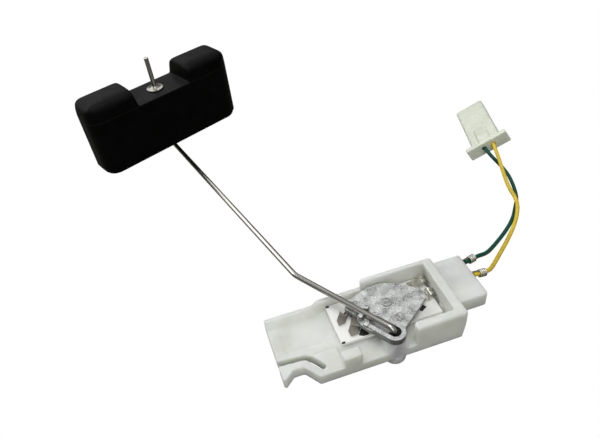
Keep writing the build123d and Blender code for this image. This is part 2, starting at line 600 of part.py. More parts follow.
def make_float():
    """Returns the foam float: a rounded block with a notch in its top and a hole for the wire."""
    plan = RectangleRounded(FLOAT_LENGTH, FLOAT_THICK, FLOAT_CORNER)
    block = Pos(0, 0, FLOAT_BOTTOM) * extrude(plan, FLOAT_HEIGHT)
    block = chamfer(block.faces().sort_by(Axis.Z)[0].edges(), FLOAT_BEVEL)
    top = FLOAT_BOTTOM + FLOAT_HEIGHT
    hump_length = (FLOAT_LENGTH - NOTCH) / 2
    for side in (-1, 1):
        middle = side * (NOTCH + hump_length) / 2
        bar = Pos(middle, 0, top - 1) * Box(hump_length, FLOAT_THICK, HUMP_HEIGHT + 1,
                                            align=(Align.CENTER, Align.CENTER, Align.MIN))
        bar &= Pos(0, 0, top - 1) * extrude(plan, HUMP_HEIGHT + 1)
        block += round_hump(bar, side)
    bore = Cylinder(WIRE / 2 + FLOAT_PLAY, 4 * top)
    sink = Pos(0, 0, FLOAT_BOTTOM) * Cone(WIRE / 2 + FLOAT_PLAY + FLOAT_SINK, WIRE / 2 + FLOAT_PLAY, FLOAT_SINK,
                                          align=(Align.CENTER, Align.CENTER, Align.MIN))
    return block - bore - sink


def round_hump(bar, side):
    """Returns one hump of the float with its top rounded to the sides and to the outer end."""
    top = FLOAT_BOTTOM + FLOAT_HEIGHT + HUMP_HEIGHT
    length = 2 * FLOAT_LENGTH
    section = Pos(0, top - HUMP_HEIGHT - 1) * RectangleRounded(FLOAT_THICK, 2 * (HUMP_HEIGHT + 1), HUMP_SIDE_ROUND)
    along = extrude(Plane.YZ * section, length / 2, both=True)
    end_x = FLOAT_LENGTH / 2
    inner_x = NOTCH / 2
    low = top - HUMP_HEIGHT - 2
    arch = make_face([
        Line((inner_x, low), (inner_x, top - HUMP_INNER_ROUND)),
        RadiusArc((inner_x, top - HUMP_INNER_ROUND), (inner_x + HUMP_INNER_ROUND, top), HUMP_INNER_ROUND),
        Line((inner_x + HUMP_INNER_ROUND, top), (end_x - HUMP_END_ROUND, top)),
        RadiusArc((end_x - HUMP_END_ROUND, top), (end_x, top - HUMP_END_ROUND), HUMP_END_ROUND),
        Line((end_x, top - HUMP_END_ROUND), (end_x, low)),
        Line((end_x, low), (inner_x, low)),
    ])
    across = extrude(Plane.XZ * arch, FLOAT_THICK, both=True)
    if side < 0:
        across = mirror(across, Plane.YZ)
    return bar & along & across


def make_nut():
    """Returns the dished push nut with four teeth round the wire."""
    bore = WIRE / 2
    section = make_face(Polyline((bore, NUT_RISE), (NUT_RADIUS * 0.62, NUT_THICK * 0.4), (NUT_RADIUS, 0),
                                 (NUT_RADIUS, NUT_THICK), (NUT_RADIUS * 0.66, NUT_THICK * 1.5),
                                 (bore, NUT_RISE + NUT_THICK), close=True))
    nut = revolve(Plane.XZ * section, Axis.Z)
    slit = Box(2 * bore + 1.6, 0.35, 6)
    for angle in (45, 135):
        nut -= Rot(0, 0, angle) * slit
    return Pos(0, 0, FLOAT_BOTTOM + FLOAT_HEIGHT + NUT_GAP) * nut


def plug_place():
    """Returns the place of the plug: it lies tipped, on a corner of its collar and on its far low edge."""
    roll = radians(PLUG_ROLL)
    collar_low = -COLLAR_WIDTH / 2 * sin(roll) - COLLAR_THICK / 2 * cos(roll)
    body_low = -PLUG_WIDTH / 2 * sin(roll) - PLUG_THICK / 2 * cos(roll)
    pitch = atan((collar_low - body_low) / PLUG_LENGTH)
    height = SURFACE - collar_low * cos(pitch)
    flat = TO_PIVOT * Pos(LENGTH + PLUG_AT[0], DEPTH + PLUG_AT[1], height) * Rot(0, 0, PLUG_YAW)
    return flat * Rot(degrees(pitch), 0, 0) * Rot(0, -PLUG_ROLL, 0)


def pin_offset(name):
    """Returns how far across the plug a lead's contact lies."""
    return PIN_PITCH / 2 * {"green": -1, "yellow": 1}[name]


def make_plug():
    """Returns the plug housing, with a collar, a latch and a way through for each contact."""
    body = Box(PLUG_WIDTH, PLUG_LENGTH, PLUG_THICK, align=(Align.CENTER, Align.MIN, Align.CENTER))
    body = chamfer(body.edges().filter_by(Axis.Y), 0.7)
    collar = Box(COLLAR_WIDTH, COLLAR_LENGTH, COLLAR_THICK, align=(Align.CENTER, Align.MAX, Align.CENTER))
    collar = fillet(collar.edges().filter_by(Axis.Y), 0.5)
    latch = make_face(Polyline((0, PLUG_THICK / 2 - 0.5), (9, PLUG_THICK / 2 - 0.5), (9, PLUG_THICK / 2 + 0.2),
                               (3.2, PLUG_THICK / 2 + 1.0), (0, PLUG_THICK / 2 + 1.0), close=True))
    plug = body + collar + extrude(Plane.YZ * latch, 2.6, both=True)
    for name in ("green", "yellow"):
        across = pin_offset(name)
        room = Pos(across, PIN_DEPTH, 0) * Box(PIN_BODY + 0.4, PLUG_LENGTH, PIN_BODY + 0.4,
                                               align=(Align.CENTER, Align.MIN, Align.CENTER))
        lead_hole = Pos(across, 0, 0) * Rot(90, 0, 0) * Cylinder(LEAD / 2 + LEAD_HOLE_PLAY, 3 * COLLAR_LENGTH)
        plug -= room + lead_hole
    return plug_place() * plug


def make_pin(name):
    """Returns a contact in the plug: a crimp behind a square spring box."""
    box_start = PIN_DEPTH + PIN_LENGTH * 0.4
    crimp = Rot(-90, 0, 0) * Cylinder(PIN_BODY / 2 - 0.05, PIN_LENGTH * 0.4 + 0.5,
                                      align=(Align.CENTER, Align.CENTER, Align.MIN))
    front = Pos(0, PIN_LENGTH * 0.4, 0) * Box(PIN_BODY, PIN_LENGTH * 0.6, PIN_BODY,
                                              align=(Align.CENTER, Align.MIN, Align.CENTER))
    front -= Pos(0, PIN_LENGTH * 0.6, 0) * Box(PIN_BODY * 0.6, PIN_LENGTH, PIN_BODY * 0.4,
                                               align=(Align.CENTER, Align.MIN, Align.CENTER))
    return plug_place() * Pos(pin_offset(name), PIN_DEPTH, 0) * (crimp + front)


def lead_points(name, terminal, route):
    """Returns the corners of a lead, from inside its crimp to its contact in the plug."""
    crimp = TO_PIVOT * crimp_place(terminal)
    start = (crimp * Pos(LEAD_START, 0, 0)).position
    out = (crimp * Pos(CRIMP_STUB + LEAD_OUT, 0, 0)).position
    place = plug_place()
    end = (place * Pos(pin_offset(name), PIN_DEPTH, 0)).position
    behind = (place * Pos(pin_offset(name), PIN_DEPTH - LEAD_STRAIGHT, 0)).position
    from_corner = [(x + LENGTH - PIVOT_X, y + DEPTH - PIVOT_Y, z) for x, y, z in route]
    return [tuple(start), tuple(out), *from_corner, tuple(behind), tuple(end)]


def lead_radii(points):
    """Returns the largest arc that each corner's two runs allow."""
    radii = []
    for before, at, after in zip(points, points[1:], points[2:]):
        one = Vector(*at) - Vector(*before)
        two = Vector(*after) - Vector(*at)
        half = radians(one.get_angle(two)) / 2
        radii.append(0.45 * min(one.length, two.length) / tan(half))
    return radii


def make_lead(name, terminal, route):
    """Returns a lead's tube and prints its radii, runs and length."""
    points = lead_points(name, terminal, route)
    radii = lead_radii(points)
    path = FilletPolyline(*points, radius=radii)
    tube = sweep(Plane(origin=path @ 0, z_dir=path % 0) * Circle(LEAD / 2), path=path)
    runs = [(Vector(*b) - Vector(*a)).length for a, b in zip(points, points[1:])]
    print(name, "radii", [round(r, 1) for r in radii])
    print(name, "runs", [round(r, 1) for r in runs])
    print(name, "length", round(path.length, 1))
    print(name, "volume ratio", round(tube.volume / (path.length * pi * LEAD ** 2 / 4), 4))
    print(name, "points", [tuple(round(c, 2) for c in p) for p in points])
    return tube


def write(name, shape):
    """Writes one node's STEP file."""
    export_step(shape, f"parts/{name}.step")


def main():
    """Builds every node and writes its file."""
    os.makedirs("parts", exist_ok=True)
    write("housing", TO_PIVOT * make_housing())
    write("resistor_card", TO_PIVOT * make_card())
    write("resistor_track", TO_PIVOT * make_track())
    for name in TERMINAL_Y:
        terminal = make_terminal(name)
        write(f"{name}_terminal", TO_PIVOT * terminal)
        write(f"{name}_solder", TO_PIVOT * make_solder(name, terminal))
    write("arm_holder", TO_ARM * make_holder())
    write("contact_plate", TO_ARM * make_contact_plate())
    write("contact_button_outer", TO_ARM * make_button(0))
    write("contact_button_inner", TO_ARM * make_button(1))
    write("float_arm", TO_ARM * make_wire())
    write("float_body", stub_place() * make_float())
    write("push_nut", stub_place() * make_nut())
    write("plug_housing", make_plug())
    for name, terminal, route in (("green", "signal", GREEN_ROUTE), ("yellow", "ground", YELLOW_ROUTE)):
        write(f"lead_{name}", make_lead(name, terminal, route))
        write(f"plug_pin_{name}", make_pin(name))


main()
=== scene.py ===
"""Dresses a fuel level sender: its finishes, float, wire arm and leads, then the studio and the camera.

Everything is in metres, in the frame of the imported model. The origin is on the pivot axis at the back face of
the housing, X runs towards the leads, Y towards the rear rail and Z out of the open side of the tray.
"""
from __future__ import annotations

import logging
import math
from dataclasses import dataclass
from enum import Enum
from typing import Sequence

import bmesh
import bpy
from mathutils import Matrix, Quaternion, Vector


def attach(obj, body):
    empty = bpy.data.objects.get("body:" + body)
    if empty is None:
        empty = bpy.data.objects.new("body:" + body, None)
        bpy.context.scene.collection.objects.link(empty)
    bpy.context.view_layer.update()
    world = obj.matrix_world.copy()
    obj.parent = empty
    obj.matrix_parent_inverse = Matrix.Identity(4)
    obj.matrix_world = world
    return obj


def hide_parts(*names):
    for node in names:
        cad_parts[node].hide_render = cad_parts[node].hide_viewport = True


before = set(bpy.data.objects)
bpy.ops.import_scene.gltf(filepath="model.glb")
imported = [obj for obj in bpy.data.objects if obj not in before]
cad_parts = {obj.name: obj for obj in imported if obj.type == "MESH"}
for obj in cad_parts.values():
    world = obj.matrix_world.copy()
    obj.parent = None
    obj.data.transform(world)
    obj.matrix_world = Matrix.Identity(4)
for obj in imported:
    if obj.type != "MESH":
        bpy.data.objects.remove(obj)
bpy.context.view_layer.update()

Colour = tuple[float, float, float]
Point = tuple[float, float, float]

MM = 0.001
WELD = 0.002 * MM
log = logging.getLogger("fuel_sender")


class Body(Enum):
    """The bodies that pieces ride on."""

    BASE = "base"
    ARM = "arm"
    FLOAT = "float"


class Lead(Enum):
    """The two leads, by the colour of their insulation."""

    GREEN = "green"
    YELLOW = "yellow"


class Graph:
    """Writes a node tree, one node at a time."""

    def __init__(self, tree: bpy.types.NodeTree) -> None:
        """Takes the tree that is written to."""
        self.tree = tree

    def node(self, kind: str, inputs: dict | None = None, **settings: object) -> bpy.types.Node:
        """Adds a node.

        Args:
            kind: the node's type.
            inputs: values, or output sockets to link, by the input's name or number.
            settings: properties of the node itself.

        Returns:
            The new node.
        """
        made = self.tree.nodes.new(kind)
        for name, value in settings.items():
            setattr(made, name, value)
        for key, value in (inputs or {}).items():
            if isinstance(value, bpy.types.NodeSocket):
                self.tree.links.new(value, made.inputs[key])
            else:
                made.inputs[key].default_value = value
        return made

    def link(self, output: bpy.types.NodeSocket, target: bpy.types.NodeSocket) -> None:
        """Links an output to an input."""
        self.tree.links.new(output, target)

    def noise(self, place: bpy.types.NodeSocket, size: float, detail: float = 3.0,
              rough: float = 0.55) -> bpy.types.NodeSocket:
        """Adds a noise texture.

        Args:
            place: the coordinates that it reads.
            size: the size of its features in metres.
            detail: how many finer layers it has.
            rough: how strong the finer layers are.

        Returns:
            The noise value, from 0 to 1.
        """
        made = self.node("ShaderNodeTexNoise", {"Vector": place, "Scale": 1 / size, "Detail": detail,
                                                "Roughness": rough})
        return made.outputs["Fac"]

    def ramp(self, value: bpy.types.NodeSocket, stops: Sequence[tuple[float, Colour]]) -> bpy.types.NodeSocket:
        """Turns a value into a colour.

        Args:
            value: the value that it reads.
            stops: places along the ramp and their colours.

        Returns:
            The colour socket.
        """
        made = self.node("ShaderNodeValToRGB", {"Fac": value})
        elements = made.color_ramp.elements
        while len(elements) < len(stops):
            elements.new(0.5)
        for element, (place, colour) in zip(elements, stops):
            element.position = place
            element.color = (*colour, 1.0)
        return made.outputs["Color"]

    def spread(self, value: bpy.types.NodeSocket, low: float, high: float, to_low: float = 0.0,
               to_high: float = 1.0) -> bpy.types.NodeSocket:
        """Maps the stretch from low to high onto the stretch from to_low to to_high, clamped."""
        made = self.node("ShaderNodeMapRange", {"Value": value, "From Min": low, "From Max": high,
                                                "To Min": to_low, "To Max": to_high})
        return made.outputs["Result"]

    def math(self, operation: str, one: object, two: object = 0.0) -> bpy.types.NodeSocket:
        """Adds a math node and returns its value."""
        return self.node("ShaderNodeMath", {0: one, 1: two}, operation=operation).outputs["Value"]

    def mix(self, factor: bpy.types.NodeSocket, one: bpy.types.NodeSocket, two: Colour,
            blend: str = "MIX") -> bpy.types.NodeSocket:
        """Mixes a fixed colour into a colour.

        Args:
            factor: how much of the fixed colour shows, from 0 to 1.
            one: the colour that it starts from.
            two: the fixed colour.
            blend: how the two are joined.

        Returns:
            The colour socket.
        """
        made = self.node("ShaderNodeMix", data_type="RGBA", blend_type=blend)
        colours = [socket for socket in made.inputs if socket.type == "RGBA"]
        self.link(factor, made.inputs[0])
        self.link(one, colours[0])
        colours[1].default_value = (*two, 1.0)
        return next(socket for socket in made.outputs if socket.type == "RGBA")

    def bump(self, height: bpy.types.NodeSocket, depth: float, strength: float = 1.0,
             normal: bpy.types.NodeSocket | None = None) -> bpy.types.NodeSocket:
        """Adds a bump.

        Args:
            height: the height value, from 0 to 1.
            depth: how high 1 stands, in metres.
            strength: how much of it shows.
            normal: the normal that it starts from.

        Returns:
            The normal socket.
        """
        made = self.node("ShaderNodeBump", {"Height": height, "Distance": depth, "Strength": strength})
        if normal is not None:
            self.link(normal, made.inputs["Normal"])
        return made.outputs["Normal"]


@dataclass(frozen=True)
class Finish:
    """What all finishes share: a shader, values that are the same all over and softened edges."""

    name: str
    colour: Colour
    roughness: float
    metallic: float = 0.0
    edge: float = 0.15 * MM
    sheen: float = 0.5

    def build(self) -> bpy.types.Material:
        """Returns the finish as a material."""
        material = bpy.data.materials.new(self.name)
        material.use_nodes = True
        material.node_tree.nodes.clear()
        graph = Graph(material.node_tree)
        shader = graph.node("ShaderNodeBsdfPrincipled", {
            "Base Color": (*self.colour, 1.0), "Roughness": self.roughness, "Metallic": self.metallic,
            "Specular IOR Level": self.sheen})
        output = graph.node("ShaderNodeOutputMaterial")
        graph.link(shader.outputs["BSDF"], output.inputs["Surface"])
        place = graph.node("ShaderNodeTexCoord").outputs["Object"]
        normal = self.pattern(graph, shader, place, self.soft_edges(graph))
        graph.link(normal, shader.inputs["Normal"])
        return material

    def soft_edges(self, graph: Graph) -> bpy.types.NodeSocket:
        """Returns normals that round the edges a little, or the plain ones where the mesh is round already."""
        if not self.edge:
            return graph.node("ShaderNodeNewGeometry").outputs["Normal"]
        return graph.node("ShaderNodeBevel", {"Radius": self.edge}, samples=4).outputs["Normal"]

    def pattern(self, graph: Graph, shader: bpy.types.Node, place: bpy.types.NodeSocket,
                normal: bpy.types.NodeSocket) -> bpy.types.NodeSocket:
        """Adds what varies over the surface.

        Args:
            graph: the material's graph.
            shader: its shader.
            place: object coordinates.
            normal: the normal with soft edges.

        Returns:
            The normal with the pattern's bump.
        """
        return normal


@dataclass(frozen=True)
class MilkyPlastic(Finish):
    """Moulded acetal that light enters: clouded, grained and waxy."""

    edge: float = 0.0
    shade: Colour = (0.66, 0.67, 0.62)
    depth: float = 5.0 * MM
    glow: float = 1.0
    grain: float = 0.35 * MM
    grain_height: float = 0.02 * MM

    def pattern(self, graph: Graph, shader: bpy.types.Node, place: bpy.types.NodeSocket,
                normal: bpy.types.NodeSocket) -> bpy.types.NodeSocket:
        """Adds clouds of density, a fine grain and light inside."""
        cloud = graph.noise(place, 14 * MM, detail=4)
        body = graph.ramp(cloud, ((0.3, self.shade), (0.62, self.colour)))
        graph.link(body, shader.inputs["Base Color"])
        shader.inputs["Subsurface Weight"].default_value = self.glow
        shader.inputs["Subsurface Radius"].default_value = (1.0, 1.0, 0.85)
        shader.inputs["Subsurface Scale"].default_value = self.depth
        gloss = graph.noise(place, 4 * MM)
        graph.link(graph.spread(gloss, 0.3, 0.7, self.roughness - 0.07, self.roughness + 0.08),
                   shader.inputs["Roughness"])
        wave = graph.bump(graph.noise(place, 6 * MM, detail=1), 0.12 * MM, 0.5, normal)
        return graph.bump(graph.noise(place, self.grain, detail=2), self.grain_height, 0.7, wave)


@dataclass(frozen=True)
class CastZinc(Finish):
    """Die-cast zinc: grey, with light and dark speckles, flow marks, a dull sheen and painted shade on its side
    faces.
    """

    light: Colour = (0.92, 0.93, 0.91)
    dark: Colour = (0.16, 0.165, 0.16)
    # side: painted shade that is mixed into faces that turn away from up
    side: Colour = (0.10, 0.105, 0.095)
    speckle: float = 0.55 * MM

    def pattern(self, graph: Graph, shader: bpy.types.Node, place: bpy.types.NodeSocket,
                normal: bpy.types.NodeSocket) -> bpy.types.NodeSocket:
        """Adds speckles over broad flow marks, each with its own gloss, and darkens the side faces with painted
        shade.
        """
        fine = graph.noise(place, self.speckle, detail=4, rough=0.7)
        flow = graph.noise(place, 3.5 * MM, detail=3, rough=0.6)
        both = graph.math("ADD", graph.math("MULTIPLY", fine, 0.62), graph.math("MULTIPLY", flow, 0.38))
        stops = ((0.38, self.dark), (0.48, self.colour), (0.53, self.colour), (0.64, self.light))
        # painted shade: the less a face turns up, the more of the side colour it takes
        facing = graph.node("ShaderNodeNewGeometry").outputs["Normal"]
        up = graph.node("ShaderNodeSeparateXYZ", {"Vector": facing}).outputs["Z"]
        sides = graph.spread(up, 0.35, 0.75, 0.7, 0.0)
        graph.link(graph.mix(sides, graph.ramp(both, stops), self.side), shader.inputs["Base Color"])
        graph.link(graph.spread(flow, 0.3, 0.7, self.roughness - 0.12, self.roughness + 0.15),
                   shader.inputs["Roughness"])
        skin = graph.bump(flow, 0.08 * MM, 0.5, normal)
        return graph.bump(fine, 0.035 * MM, 0.8, skin)


@dataclass(frozen=True)
class DrawnWire(Finish):
    """Drawn stainless wire: fine streaks along its length."""

    dark: Colour = (0.36, 0.35, 0.32)

    def pattern(self, graph: Graph, shader: bpy.types.Node, place: bpy.types.NodeSocket,
                normal: bpy.types.NodeSocket) -> bpy.types.NodeSocket:
        """Adds streaks that follow the wire, read from its along_wire attribute."""
        along = graph.node("ShaderNodeAttribute", attribute_name=WireArm.ATTRIBUTE).outputs["Vector"]
        stretched = graph.node("ShaderNodeMapping", {"Vector": along, "Scale": (0.012, 1.0, 1.0)}).outputs["Vector"]
        streak = graph.noise(stretched, 0.22 * MM, detail=4, rough=0.65)
        graph.link(graph.ramp(streak, ((0.36, self.dark), (0.58, self.colour))), shader.inputs["Base Color"])
        graph.link(graph.spread(streak, 0.3, 0.7, self.roughness - 0.03, self.roughness + 0.06),
                   shader.inputs["Roughness"])
        return graph.bump(streak, 0.005 * MM, 0.5, normal)


@dataclass(frozen=True)
class FormedSheet(Finish):
    """Thin sheet metal formed in a press: bright, with shallow waves, tarnish and fine scratches."""

    tarnish: Colour = (0.3, 0.3, 0.29)
    wave: float = 1.1 * MM
    wave_height: float = 0.05 * MM

    def pattern(self, graph: Graph, shader: bpy.types.Node, place: bpy.types.NodeSocket,
                normal: bpy.types.NodeSocket) -> bpy.types.NodeSocket:
        """Adds waves that break up the reflections, tarnish and scratches."""
        cloud = graph.noise(place, 1.8 * MM, detail=4, rough=0.6)
        graph.link(graph.ramp(cloud, ((0.34, self.tarnish), (0.6, self.colour))), shader.inputs["Base Color"])
        graph.link(graph.spread(cloud, 0.3, 0.7, self.roughness + 0.1, self.roughness - 0.04),
                   shader.inputs["Roughness"])
        stretched = graph.node("ShaderNodeMapping", {"Vector": place, "Scale": (0.15, 1.0, 1.0),
                                                     "Rotation": (0.0, 0.0, 0.6)}).outputs["Vector"]
        scratch = graph.noise(stretched, 0.1 * MM, detail=2)
        waved = graph.bump(graph.noise(place, self.wave, detail=1), self.wave_height, 0.8, normal)
        return graph.bump(scratch, 0.006 * MM, 0.5, waved)


@dataclass(frozen=True)
class SpringSheet(FormedSheet):
    """Spring sheet whose bent fingers carry painted shade, darkest where they leave the holder and fading to the
    sheet's own colour at their tips.
    """

    # shadow: the painted shade under the holder
    shadow: Colour = (0.07, 0.062, 0.05)
    low: float = 6.0 * MM
    high: float = 8.0 * MM

    def pattern(self, graph: Graph, shader: bpy.types.Node, place: bpy.types.NodeSocket,
                normal: bpy.types.NodeSocket) -> bpy.types.NodeSocket:
        """Adds the sheet's pattern, with painted shade that darkens it with height, towards the holder."""
        formed = super().pattern(graph, shader, place, normal)
        height = graph.node("ShaderNodeSeparateXYZ", {"Vector": place}).outputs["Z"]
        # painted shade: the higher the sheet, the nearer the holder and the more shadow colour it takes
        share = graph.spread(height, self.low, self.high, 0.0, 0.8)
        plain = shader.inputs["Base Color"].links[0].from_socket
        graph.link(graph.mix(share, plain, self.shadow), shader.inputs["Base Color"])
        return formed


@dataclass(frozen=True)
class Foam(Finish):
    """Black closed-cell foam with a moulded skin: matt, with pores, a faint parting line and painted light on its
    upward faces.
    """

    line_height: float = 39.6 * MM
    line_width: float = 0.3 * MM
    pore: float = 0.45 * MM
    bloom: Colour = (0.002, 0.002, 0.0022)
    # painted light: the colour that upward-facing faces are lightened to
    painted_top_light: Colour = (0.008, 0.008, 0.0083)
    ridge: Colour = (0.009, 0.009, 0.009)

    def pattern(self, graph: Graph, shader: bpy.types.Node, place: bpy.types.NodeSocket,
                normal: bpy.types.NodeSocket) -> bpy.types.NodeSocket:
        """Adds pores, a clouded bloom, painted light on the upward faces and the parting line round the float."""
        bloom = graph.noise(place, 7 * MM, detail=5, rough=0.65)
        facing = graph.node("ShaderNodeNewGeometry").outputs["Normal"]
        up = graph.spread(graph.node("ShaderNodeSeparateXYZ", {"Vector": facing}).outputs["Z"], 0.3, 0.95)
        clouded = graph.ramp(bloom, ((0.4, self.colour), (0.68, self.bloom)))
        # painted light: faces that turn up are mixed towards the lighter top colour
        graph.link(graph.mix(up, clouded, self.painted_top_light), shader.inputs["Base Color"])
        graph.link(graph.spread(bloom, 0.3, 0.7, self.roughness - 0.06, self.roughness + 0.08),
                   shader.inputs["Roughness"])
        pores = graph.node("ShaderNodeTexVoronoi", {"Vector": place, "Scale": 1 / self.pore}).outputs["Distance"]
        skin = graph.bump(graph.noise(place, 2.2 * MM, detail=3), 0.1 * MM, 0.35, normal)
        porous = graph.bump(pores, 0.03 * MM, 0.45, skin)
        height = graph.node("ShaderNodeSeparateXYZ", {"Vector": place}).outputs["Z"]
        off = graph.math("ABSOLUTE", graph.math("SUBTRACT", height, self.line_height))
        line = graph.spread(off, 0.0, self.line_width, 1.0, 0.0)
        plain = shader.inputs["Base Color"].links[0].from_socket
        graph.link(graph.mix(line, plain, self.ridge), shader.inputs["Base Color"])
        return graph.bump(line, 0.12 * MM, 0.8, porous)


@dataclass(frozen=True)
class Fired(Finish):
    """Fired ceramic or printed film: plain, with a fine grain and slight clouds."""

    cloud: Colour = (0.7, 0.68, 0.62)
    grain: float = 0.25 * MM

    def pattern(self, graph: Graph, shader: bpy.types.Node, place: bpy.types.NodeSocket,
                normal: bpy.types.NodeSocket) -> bpy.types.NodeSocket:
        """Adds clouds and a grain."""
        clouds = graph.noise(place, 5 * MM, detail=4)
        graph.link(graph.ramp(clouds, ((0.3, self.cloud), (0.55, self.colour))), shader.inputs["Base Color"])
        grain = graph.noise(place, self.grain, detail=3)
        graph.link(graph.spread(grain, 0.3, 0.7, self.roughness - 0.05, self.roughness + 0.08),
                   shader.inputs["Roughness"])
        return graph.bump(grain, 0.008 * MM, 0.6, normal)


@dataclass(frozen=True)
class Insulation(Finish):
    """Extruded lead insulation: glossy, with slight waves along the lead."""

    edge: float = 0.0
    worn: Colour = (0.5, 0.5, 0.5)

    def pattern(self, graph: Graph, shader: bpy.types.Node, place: bpy.types.NodeSocket,
                normal: bpy.types.NodeSocket) -> bpy.types.NodeSocket:
        """Adds worn patches and slight waves."""
        patch = graph.noise(place, 3 * MM, detail=4)
        graph.link(graph.ramp(patch, ((0.35, self.worn), (0.6, self.colour))), shader.inputs["Base Color"])
        graph.link(graph.spread(patch, 0.3, 0.7, self.roughness + 0.08, self.roughness - 0.05),
                   shader.inputs["Roughness"])
        return graph.bump(graph.noise(place, 1.5 * MM, detail=1), 0.01 * MM, 0.5, normal)


class Finishes:
    """The finishes of the sender, one for each of the record's material slots."""

    def __init__(self) -> None:
        """Builds every material."""
        finishes = (
            MilkyPlastic("housing_plastic", (0.80, 0.815, 0.77), 0.42),
            MilkyPlastic("plug_plastic", (0.80, 0.83, 0.72), 0.34, shade=(0.70, 0.74, 0.61), depth=1.2 * MM,
                         glow=0.35),
            Fired("ceramic", (0.97, 0.965, 0.93), 0.42, cloud=(0.94, 0.93, 0.89)),
            Fired("resistor_film", (0.012, 0.012, 0.012), 0.5, cloud=(0.03, 0.03, 0.03)),
            FormedSheet("tinned_strip", (0.72, 0.71, 0.65), 0.22, 1.0, tarnish=(0.46, 0.45, 0.40),
                        wave_height=0.02 * MM),
            FormedSheet("solder", (0.72, 0.72, 0.71), 0.25, 1.0, tarnish=(0.45, 0.45, 0.44)),
            CastZinc("zinc_casting", (0.60, 0.61, 0.60), 0.4, 0.85),
            SpringSheet("nickel_silver", (0.40, 0.38, 0.34), 0.3, 1.0, tarnish=(0.26, 0.24, 0.21),
                        wave_height=0.02 * MM),
            FormedSheet("contact_metal", (0.72, 0.68, 0.58), 0.25, 1.0, tarnish=(0.5, 0.45, 0.36)),
            DrawnWire("stainless_wire", (0.56, 0.55, 0.52), 0.17, 1.0),
            Foam("float_foam", (0.0005, 0.0005, 0.0005), 0.5, sheen=0.06),
            FormedSheet("spring_steel", (0.38, 0.37, 0.35), 0.24, 1.0, tarnish=(0.22, 0.21, 0.19)),
            Insulation("green_insulation", (0.001, 0.085, 0.058), 0.36, worn=(0.001, 0.06, 0.042), sheen=0.3),
            Insulation("yellow_insulation", (0.82, 0.60, 0.035), 0.38, worn=(0.70, 0.49, 0.025), sheen=0.3),
        )
        self.materials = {finish.name: finish.build() for finish in finishes}

    def of(self, slot: str) -> bpy.types.Material:
        """Returns the material of a slot of the record."""
        return self.materials[slot]


@dataclass
class Maker:
    """Turns meshes into pieces that ride on a body and take a slot's finish."""

    finishes: Finishes

    def piece(self, name: str, data: bpy.types.Mesh | bpy.types.Curve, slot: str, body: Body,
              nodes: Sequence[str] = ()) -> bpy.types.Object:
        """Makes a finished piece.

        Args:
            name: the piece's name.
            data: its mesh or curve, in the row frame.
            slot: the record's slot that it takes its finish from.
            body: the body that it rides on.
            nodes: the CAD nodes that it stands for.

        Returns:
            The piece.
        """
        made = bpy.data.objects.new(name, data)
        bpy.context.scene.collection.objects.link(made)
        data.materials.clear()
        data.materials.append(self.finishes.of(slot))
        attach(made, body.value)
        if nodes:
            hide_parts(*nodes)
        log.info("piece %s: finish %s, body %s", name, slot, body.value)
        return made

    def smooth_copy(self, node: str, name: str, slot: str, body: Body, crease: float = 28.0) -> bpy.types.Object:
        """Makes a piece from a CAD node, with its doubled points merged and its curves shaded smooth.

        Args:
            node: the CAD node.
            name: the new piece's name.
            slot: the record's slot that it takes its finish from.
            body: the body that it rides on.
            crease: the angle in degrees past which an edge stays sharp.

        Returns:
            The piece.
        """
        mesh = merged_copy(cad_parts[node].data, name)
        mesh.shade_smooth()
        mesh.set_sharp_from_angle(angle=math.radians(crease))
        return self.piece(name, mesh, slot, body, (node,))

    def moulded_copy(self, node: str, name: str, slot: str, body: Body, voxel: float, smoothing: int,
                     place: Matrix | None = None) -> bpy.types.Object:
        """Makes a piece from a CAD node with all its edges softly rounded, as a mould leaves them.

        Args:
            node: the CAD node.
            name: the new piece's name.
            slot: the record's slot that it takes its finish from.
            body: the body that it rides on.
            voxel: the size of the new mesh's faces.
            smoothing: how many times the edges are smoothed.
            place: a change of place or size, made first.

        Returns:
            The piece.
        """
        mesh = merged_copy(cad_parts[node].data, name)
        mesh.transform(place or Matrix.Identity(4))
        mesh = rounded(mesh, name, voxel, smoothing)
        mesh.shade_smooth()
        return self.piece(name, mesh, slot, body, (node,))


def rounded(mesh: bpy.types.Mesh, name: str, voxel: float, smoothing: int) -> bpy.types.Mesh:
    """Remeshes a closed mesh in even faces and smooths it.

    Args:
        mesh: the closed mesh.
        name: the name of the result.
        voxel: the size of the new faces.
        smoothing: how many times they are smoothed.

    Returns:
        The rounded mesh.
    """
    holder = bpy.data.objects.new(name, mesh)
    bpy.context.scene.collection.objects.link(holder)
    remesh = holder.modifiers.new("remesh", "REMESH")
    remesh.mode = "VOXEL"
    remesh.voxel_size = voxel
    remesh.use_smooth_shade = True
    smooth = holder.modifiers.new("smooth", "SMOOTH")
    smooth.iterations = smoothing
    return settled(holder, name)


def merged_copy(source: bpy.types.Mesh, name: str) -> bpy.types.Mesh:
    """Copies a mesh's shape alone and merges its doubled points.

    Args:
        source: the mesh to copy.
        name: the new mesh's name.

    Returns:
        The merged mesh.
    """
    mesh = bpy.data.meshes.new(name)
    faces = [tuple(polygon.vertices) for polygon in source.polygons]
    mesh.from_pydata([vertex.co[:] for vertex in source.vertices], [], faces)
    work = bmesh.new()
    work.from_mesh(mesh)
    bmesh.ops.remove_doubles(work, verts=work.verts, dist=WELD)
    work.to_mesh(mesh)
    work.free()
    return mesh


def settled(piece: bpy.types.Object, name: str) -> bpy.types.Mesh:
    """Applies an object's modifiers.

    Args:
        piece: the object, which is removed.
        name: the name of the mesh.

    Returns:
        The plain mesh that the modifiers give.
    """
    bpy.context.view_layer.update()
    evaluated = piece.evaluated_get(bpy.context.evaluated_depsgraph_get())
    mesh = bpy.data.meshes.new_from_object(evaluated)
    mesh.name = name
    bpy.data.objects.remove(piece)
    return mesh


